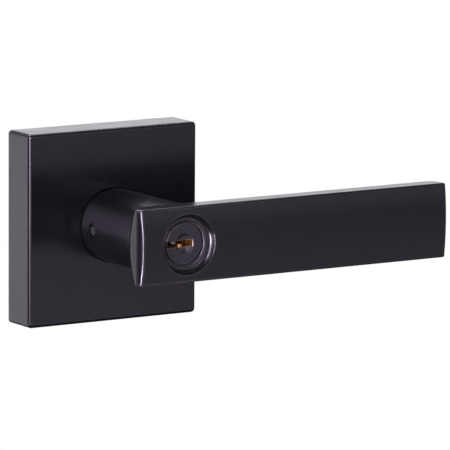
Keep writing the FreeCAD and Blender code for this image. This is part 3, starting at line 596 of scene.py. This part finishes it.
def turned_metal(name, light, dark, roughness, ring_scale=6.4):
    """Turned metal: fine rings along the spindle's axis, tarnish and bright edges, partly rubbed and partly a
    painted highlight.
    """
    made, nodes = material(name)
    along = nodes.add("CombineXYZ", X=nodes.split()[1])
    rings = nodes.add("TexNoise", Vector=along.outputs[0], Scale=ring_scale, Detail=3.0).outputs[0]
    tarnish = nodes.noise(scale=0.35, detail=5.0)
    # edge mark: partly rubbed metal, partly a painted highlight
    wear_and_highlight = nodes.times(nodes.edges(radius_mm=0.25), 0.5)
    colour = nodes.mix(nodes.remap(tarnish, 0.35, 0.7), light, dark)
    colour = nodes.mix(wear_and_highlight, colour, brighter(light, 1.3))
    uneven = nodes.maths("ADD", rings, nodes.times(tarnish, 0.5))
    rough = nodes.remap(uneven, 0.5, 1.1, out_low=roughness - 0.06, out_high=roughness + 0.12)
    nodes.surface(colour, rough, 1.0, nodes.bump(rings, distance_mm=0.01, strength=0.7))
    return made


def dark_steel(name, light, dark, roughness=0.34, streak_mm=0.006):
    """Oiled spring steel or black oxide: drawn streaks, a thin uneven film and rubbed edges, which are partly a
    painted highlight and glint.
    """
    made, nodes = material(name)
    film = nodes.noise(scale=0.4, detail=5.0)
    drawn = nodes.noise(scale=1.5, detail=3.0, stretch=(1, 4, 1))
    patchy = nodes.remap(nodes.noise(scale=1.3, detail=4.0), 0.35, 0.6)
    # edge mark: partly rubbed steel, partly a painted highlight and glint
    wear_and_highlight = nodes.times(nodes.edges(radius_mm=0.3), patchy, 0.7)
    colour = nodes.mix(nodes.remap(film, 0.3, 0.7), dark, light)
    colour = nodes.mix(wear_and_highlight, colour, RUBBED_AND_HIGHLIT_STEEL)
    uneven = nodes.maths("ADD", film, nodes.times(drawn, 0.5))
    rough = nodes.remap(uneven, 0.45, 1.05, out_low=roughness - 0.1, out_high=roughness + 0.12)
    nodes.surface(colour, rough, 1.0, nodes.bump(drawn, distance_mm=streak_mm, strength=0.6))
    return made


def sintered_bronze(name):
    """Sintered bronze: oil-dark pores in a dull warm metal, with lighter edges that are partly rubbed and
    partly a painted highlight.
    """
    made, nodes = material(name)
    pores = nodes.add("TexVoronoi", Vector=nodes.place(), Scale=3.2).outputs["Distance"]
    pit = nodes.remap(pores, 0.10, 0.32)
    cloud = nodes.noise(scale=0.3, detail=4.0)
    # edge mark: partly rubbed bronze, partly a painted highlight
    wear_and_highlight = nodes.times(nodes.edges(radius_mm=0.3), 0.5)
    metal = nodes.mix(nodes.remap(cloud, 0.3, 0.7), BRONZE_LIGHT, BRONZE_DARK)
    colour = nodes.mix(wear_and_highlight, nodes.mix(pit, BRONZE_PORE, metal), BRONZE_EDGE_AND_HIGHLIGHT)
    rough = nodes.remap(cloud, 0.3, 0.7, out_low=0.38, out_high=0.55)
    nodes.surface(colour, rough, 1.0, nodes.bump(pit, distance_mm=0.02, strength=0.8))
    return made


def moulded_nylon(name, light, dark):
    """Natural nylon: slightly mottled, waxy, with a fine moulded grain and lighter edges that are partly rubbed
    and partly a painted highlight.
    """
    made, nodes = material(name)
    cloud = nodes.noise(scale=0.25, detail=4.0)
    grain = nodes.noise(scale=3.0, detail=3.0)
    # edge mark: partly rubbed nylon, partly a painted highlight
    wear_and_highlight = nodes.times(nodes.edges(radius_mm=0.3), 0.4)
    colour = nodes.mix(wear_and_highlight, nodes.mix(nodes.remap(cloud, 0.3, 0.7), light, dark), NYLON_EDGE_AND_HIGHLIGHT)
    rough = nodes.remap(grain, 0.3, 0.7, out_low=0.36, out_high=0.5)
    normal = nodes.bump(grain, distance_mm=0.012, strength=0.6)
    nodes.surface(colour, rough, 0.0, normal, Subsurface_Weight=0.15, Subsurface_Radius=(0.001, 0.0009, 0.0007))
    return made


finishes = {
    "rose": satin_black("rose_satin_black", ROSE_POLISH_AND_HIGHLIGHT, away_from_neck, ROSE_LIT_INDEX),
    "lever_handle": satin_black("lever_satin_black", LEVER_POLISH_AND_HIGHLIGHT, on_the_bar, LEVER_SHADED_INDEX),
    "cylinder_shell": black_over_brass("shell_black_over_brass", shell_is_bare),
    "plug": black_over_brass("plug_black_over_brass", plug_is_bare),
    "lever_catch": dark_steel("catch_dull_steel", (0.34, 0.34, 0.36), (0.07, 0.07, 0.075), 0.28, 0.12),
    "mounting_plate": plated("plate_zinc", ZINC_BRIGHT, ZINC_DULL, ZINC_TINT),
    "mounting_posts": plated("posts_zinc", ZINC_BRIGHT, ZINC_DULL, ZINC_TINT, 0.34, 0.9),
    "spring_cage": plated("cage_yellow_zinc", (0.34, 0.30, 0.20), (0.20, 0.17, 0.10), (0.22, 0.21, 0.18)),
    "cage_rivets": turned_metal("rivets_steel", (0.58, 0.58, 0.60), (0.38, 0.38, 0.40), 0.32),
    "return_spring": dark_steel("return_spring_steel", (0.26, 0.26, 0.28), (0.13, 0.13, 0.15)),
    "plate_bush": sintered_bronze("plate_bush_bronze"),
    "cage_bush": moulded_nylon("cage_bush_nylon", (0.74, 0.72, 0.66), (0.64, 0.62, 0.56)),
    "thrust_washer": moulded_nylon("washer_nylon", (0.76, 0.74, 0.68), (0.66, 0.64, 0.58)),
    "spindle_tube": plated("tube_zinc", ZINC_BRIGHT, ZINC_DULL, ZINC_TINT, 0.34, 1.1),
    "driver_cam": plated("cam_zinc", (0.60, 0.60, 0.58), (0.42, 0.42, 0.41), (0.50, 0.50, 0.52), 0.38, 0.8),
    "retaining_ring": dark_steel("ring_black_oxide", (0.085, 0.085, 0.095), (0.035, 0.035, 0.04)),
    "drive_spindle": plated("spindle_zinc", (0.64, 0.63, 0.60), (0.53, 0.53, 0.52), (0.56, 0.56, 0.58),
                            0.36, 1.3),
    "driver_pins": turned_metal("driver_pins_brass", BRASS_LIGHT, BRASS_DARK, 0.26, 9.6),
    "pin_springs": dark_steel("pin_springs_steel", (0.60, 0.58, 0.52), (0.40, 0.38, 0.33), 0.28),
    "pin_cover": turned_metal("pin_cover_brass", BRASS_LIGHT, BRASS_DARK, 0.32, 3.2),
    "cylinder_retainer": dark_steel("retainer_black_oxide", OXIDE_LIGHT, OXIDE_DARK),
    "catch_spring": dark_steel("catch_spring_steel", (0.42, 0.43, 0.47), (0.26, 0.27, 0.31), 0.28),
    "key_pins": turned_metal("key_pins_brass", (0.82, 0.60, 0.28), BRASS_DARK, 0.24, 9.6),
    "plug_clip": dark_steel("plug_clip_black_oxide", OXIDE_LIGHT, OXIDE_DARK),
    "tailpiece": plated("tailpiece_zinc", (0.62, 0.63, 0.64), (0.44, 0.45, 0.47), ZINC_TINT, 0.36, 1.2),
    "tailpiece_pin": turned_metal("tailpiece_pin_steel", (0.60, 0.60, 0.62), (0.42, 0.42, 0.44), 0.28),
}
for node_name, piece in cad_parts.items():
    for slot_number in range(len(piece.data.materials)):
        piece.data.materials[slot_number] = finishes[node_name]


# ---- solids made of rings of points ----

SHARP_ANGLE = math.radians(35)


def close_loops(solid, loops):
    """Faces between neighbouring rings of points, and a cap on the first and the last."""
    sides = len(loops[0])
    for first, second in zip(loops, loops[1:]):
        for number in range(sides):
            after = (number + 1) % sides
            solid.faces.new((first[number], first[after], second[after], second[number]))
    solid.faces.new(loops[0][::-1])
    solid.faces.new(loops[-1])
    bmesh.ops.recalc_face_normals(solid, faces=solid.faces)


def add_piece(name, solid, node_name):
    """Object made from a bmesh solid, with the finish of the CAD node that it stands for, which it hides."""
    mesh = bpy.data.meshes.new(name)
    solid.to_mesh(mesh)
    solid.free()
    for polygon in mesh.polygons:
        polygon.use_smooth = True
    mesh.set_sharp_from_angle(angle=SHARP_ANGLE)
    mesh.materials.append(finishes[node_name])
    piece = add_object(name, mesh)
    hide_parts(node_name)
    return piece


# ---- the mounting posts, with real threads; lengths in millimetres, with the plate's rear at y = 0 ----

POST_SIDES = 48
THREAD_PITCH = 0.8
THREAD_DEPTH = 0.38
THREAD_MINOR_R = 2.1
THREAD_END_DEPTH = 0.6
ROWS_PER_TURN = 6
HOLE_DEPTH = 22.0
DRILL_POINT_DEPTH = 0.9
DRILL_POINT_R = 0.25
SPIGOT_R = 2.8
FLARE_R = 3.6
FLARE_DEPTH = 0.8
MOUTH_ROWS = ((0.5, 0.15), (0.0, 0.65))              # depth from the post's end, radius beyond the thread's
TIP_ROWS = ((0.0, 0.55), (0.12, 0.25), (0.45, 0.0))  # depth from the post's end, ease off its radius
SHOULDER_ROWS = ((0.3, 0.0), (0.0, 0.2))             # y, ease off the post's radius


def post_rows(box_low, box_high):
    """Rows of one post, from the bottom of its threaded hole out to its mouth and back to its spigot."""
    plate_front, end_y = box_low.y / MM, box_high.y / MM
    post_r = (box_high.x - box_low.x) / MM / 2
    hole_bottom = end_y - HOLE_DEPTH

    def level(y, radius):
        return y, [radius] * POST_SIDES

    rows = [level(hole_bottom - DRILL_POINT_DEPTH, DRILL_POINT_R), level(hole_bottom, THREAD_MINOR_R)]
    count = round((end_y - THREAD_END_DEPTH - hole_bottom) / THREAD_PITCH * ROWS_PER_TURN)
    for row in range(1, count):
        y = hole_bottom + row * THREAD_PITCH / ROWS_PER_TURN
        ease = min(1.0, row / ROWS_PER_TURN)
        turns = [(y / THREAD_PITCH + number / POST_SIDES) % 1.0 for number in range(POST_SIDES)]
        rows.append((y, [THREAD_MINOR_R + ease * THREAD_DEPTH * (1 - abs(2 * turn - 1)) for turn in turns]))
    rows += [level(end_y - depth, THREAD_MINOR_R + flare) for depth, flare in MOUTH_ROWS]
    rows += [level(end_y - depth, post_r - off) for depth, off in TIP_ROWS]
    rows += [level(y, post_r - off) for y, off in SHOULDER_ROWS]
    rows += [level(0.0, SPIGOT_R), level(plate_front + FLARE_DEPTH, SPIGOT_R), level(plate_front, FLARE_R)]
    return rows


def post_solid(rows, centre_z):
    """Closed solid of rings about an axis along Y; a row is (y, radius at each angle)."""
    solid = bmesh.new()
    loops = []
    for y, radii in rows:
        loop = []
        for number, radius in enumerate(radii):
            angle = 2 * math.pi * number / POST_SIDES
            point = (radius * math.cos(angle) * MM, y * MM, (radius * math.sin(angle) + centre_z) * MM)
            loop.append(solid.verts.new(point))
        loops.append(loop)
    close_loops(solid, loops)
    return solid


def make_posts():
    low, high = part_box("mounting_posts")
    spacing = (high.z - low.z) / MM - (high.x - low.x) / MM
    for name, side in (("post_lower", -1), ("post_upper", 1)):
        solid = post_solid(post_rows(low, high), side * spacing / 2)
        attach(add_piece(name, solid, "mounting_posts"), "chassis")


# ---- the catch's leaf spring, made in one fixed shape though the real one bends as the catch goes in; lengths in millimetres ----

LEAF_STEPS = 48
LEAF_THICK = 0.35
LEAF_HALF_ANGLE = math.radians(77)
LEAF_EDGE = 0.08
LEAF_TAPER = 0.25
LEAF_TAPER_FROM = 0.9
LEAF_TAPER_SPAN = 0.1
LEAF_CURL = 0.5
LEAF_CURL_FROM = 0.85
LEAF_CURL_SPAN = 0.15


def leaf_profile(outer_r, half_width):
    """(radius, y) round the leaf's section, with eased corners."""
    inner_r = outer_r - LEAF_THICK
    half = [(outer_r, half_width - LEAF_EDGE), (outer_r - LEAF_EDGE, half_width),
            (inner_r + LEAF_EDGE, half_width), (inner_r, half_width - LEAF_EDGE)]
    return half + [(radius, -y) for radius, y in reversed(half)]


def make_leaf():
    """Arc-shaped strip with slightly eased edges and curled-in ends."""
    low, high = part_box("catch_spring")
    outer_r = -low.x / MM
    mid_y = (low.y + high.y) / 2 / MM
    half_width = (high.y - low.y) / 2 / MM
    solid = bmesh.new()
    loops = []
    for step in range(LEAF_STEPS + 1):
        share = 2 * step / LEAF_STEPS - 1
        angle = math.pi + share * LEAF_HALF_ANGLE
        width = half_width * (1 - LEAF_TAPER * max(0.0, abs(share) - LEAF_TAPER_FROM) / LEAF_TAPER_SPAN)
        curl = LEAF_CURL * max(0.0, abs(share) - LEAF_CURL_FROM) / LEAF_CURL_SPAN
        loop = []
        for radius, y in leaf_profile(outer_r, width):
            point = ((radius - curl) * math.cos(angle) * MM, (mid_y + y) * MM,
                     (radius - curl) * math.sin(angle) * MM)
            loop.append(solid.verts.new(point))
        loops.append(loop)
    close_loops(solid, loops)
    leaf = add_piece("catch_leaf", solid, "catch_spring")
    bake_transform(leaf)


make_posts()
make_leaf()

bpy.context.scene.view_settings.view_transform = "Standard"
